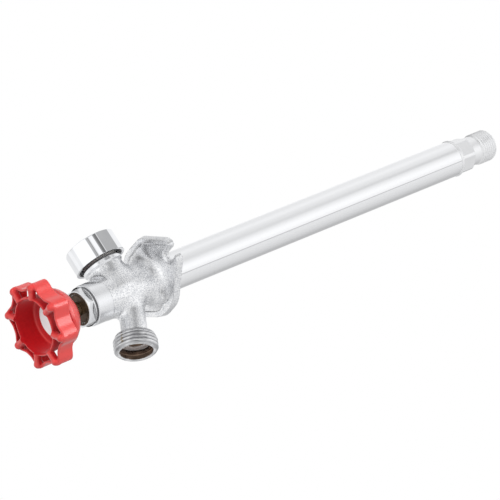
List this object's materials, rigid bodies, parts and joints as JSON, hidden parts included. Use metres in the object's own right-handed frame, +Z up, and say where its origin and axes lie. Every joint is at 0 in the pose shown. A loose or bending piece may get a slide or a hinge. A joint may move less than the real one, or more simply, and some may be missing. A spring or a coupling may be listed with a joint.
{
  "type": "frost free sillcock",
  "caption": "Frost free outdoor tap with a long wall tube, slotted wall flange, slanted threaded hose outlet, capped vacuum breaker and a red lobed wheel handle.",
  "frame": {"origin": "where the supply tube's axis meets the wall, at the flange's back face", "axes": "+Y along the supply tube into the wall, away from the handle; +Z up, towards the vacuum breaker's cap; +X across the flange, to the right for a person facing the wall"},
  "size_m": [0.074, 0.3887, 0.0816],
  "materials": {
    "cast_chrome": "satin, sand-cast grain under the plating",
    "bright_chrome": "polished",
    "brass": "machined",
    "steel": "plated",
    "disc": "brushed",
    "rubber": "matt black",
    "packing": "matt graphite packing",
    "red_paint": "gloss enamel",
    "black_plastic": "moulded",
    "white_plastic": "moulded"
  },
  "bodies": {
    "valve": {"body": "cast_chrome", "tube": "bright_chrome", "inlet_fitting": "bright_chrome", "bonnet": "bright_chrome", "bonnet_gasket": "rubber", "packing_nut": "brass", "packing_ring": "packing", "packing_washer": "brass", "stem_oring": "rubber", "vb_cap": "bright_chrome", "vb_retainer": "black_plastic", "vb_gasket": "rubber"},
    "plunger": {"seat_holder": "brass", "holder_clip": "steel", "seat_washer": "rubber", "washer_screw": "brass"},
    "stem": {"stem_rod": "brass", "handle": "red_paint", "handle_screw": "steel", "lock_washer": "steel", "name_disc": "disc"},
    "float": {"vb_float": "white_plastic", "vb_float_seal": "rubber"}
  },
  "joints": [
    {"name": "plunger_slide", "type": "slide", "parent": "valve", "child": "plunger", "axis": [0, -1, 0], "range_m": [0, 0.0076]},
    {"name": "stem_turn", "type": "hinge", "parent": "plunger", "child": "stem", "pos_m": [0, -0.07, 0], "axis": [0, -1, 0], "range_deg": [0, 900]},
    {"name": "float_rise", "type": "slide", "parent": "valve", "child": "float", "axis": [0, 0, 1], "range_m": [0, 0.0032]}
  ],
  "couplings": [
    {"joint": "plunger_slide", "follows": "stem_turn", "m_per_rad": 0.00047746}
  ]
}
